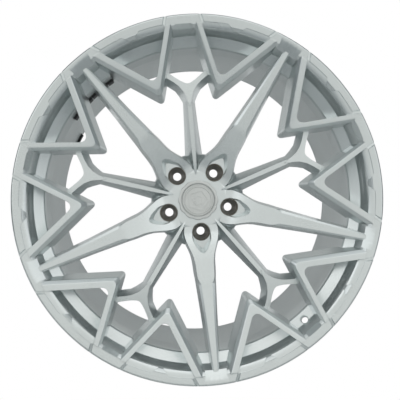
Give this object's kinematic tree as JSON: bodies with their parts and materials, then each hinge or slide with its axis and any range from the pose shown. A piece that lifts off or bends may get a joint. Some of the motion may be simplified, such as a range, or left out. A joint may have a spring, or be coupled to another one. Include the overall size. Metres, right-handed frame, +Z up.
{
  "type": "forged alloy road wheel",
  "caption": "Silver forged alloy road wheel with straight main spokes, forked spokes, open chevron frames, a notched front lip and a push-in centre cap.",
  "frame": {"origin": "centre of the hub's mounting face, on the wheel axis", "axes": "+Y along the wheel axis towards the vehicle, face looks along -Y, +Z up, one forked spoke at the valve hole points down to the right"},
  "size_m": [0.595, 0.2675, 0.595],
  "materials": {
    "silver_paint": "silver metallic paint under clear coat",
    "seat_steel": "dark turned steel",
    "cap_plastic": "moulded, fine grain",
    "cap_silver": "silver painted plastic",
    "spring_wire": "bright spring wire",
    "tape": "foam adhesive tape",
    "weight_black": "black coated steel"
  },
  "bodies": {
    "wheel": {"outer_lip": "silver_paint", "barrel": "silver_paint", "hub": "silver_paint", "main_spoke_1": "silver_paint", "main_spoke_2": "silver_paint", "main_spoke_3": "silver_paint", "main_spoke_4": "silver_paint", "main_spoke_5": "silver_paint", "split_spoke_1": "silver_paint", "split_spoke_2": "silver_paint", "split_spoke_3": "silver_paint", "split_spoke_4": "silver_paint", "split_spoke_5": "silver_paint", "chevron_main_leg_1": "silver_paint", "chevron_main_leg_2": "silver_paint", "chevron_main_leg_3": "silver_paint", "chevron_main_leg_4": "silver_paint", "chevron_main_leg_5": "silver_paint", "chevron_main_leg_6": "silver_paint", "chevron_main_leg_7": "silver_paint", "chevron_main_leg_8": "silver_paint", "chevron_main_leg_9": "silver_paint", "chevron_main_leg_10": "silver_paint", "chevron_side_leg_1": "silver_paint", "chevron_side_leg_2": "silver_paint", "chevron_side_leg_3": "silver_paint", "chevron_side_leg_4": "silver_paint", "chevron_side_leg_5": "silver_paint", "chevron_side_leg_6": "silver_paint", "chevron_side_leg_7": "silver_paint", "chevron_side_leg_8": "silver_paint", "chevron_side_leg_9": "silver_paint", "chevron_side_leg_10": "silver_paint", "lug_seat_1": "seat_steel", "lug_seat_2": "seat_steel", "lug_seat_3": "seat_steel", "lug_seat_4": "seat_steel", "lug_seat_5": "seat_steel", "front_balance_tape": "tape", "front_balance_weights": "weight_black", "rear_balance_tape": "tape", "rear_balance_weight": "weight_black"},
    "cap": {"cap_body": "cap_plastic", "cap_bezel": "cap_silver", "cap_emblem": "cap_silver", "cap_spring_ring": "spring_wire"}
  },
  "joints": [
    {"name": "cap_pull", "type": "slide", "parent": "wheel", "child": "cap", "axis": [0, -1, 0], "range_m": [0, 0.04]}
  ]
}
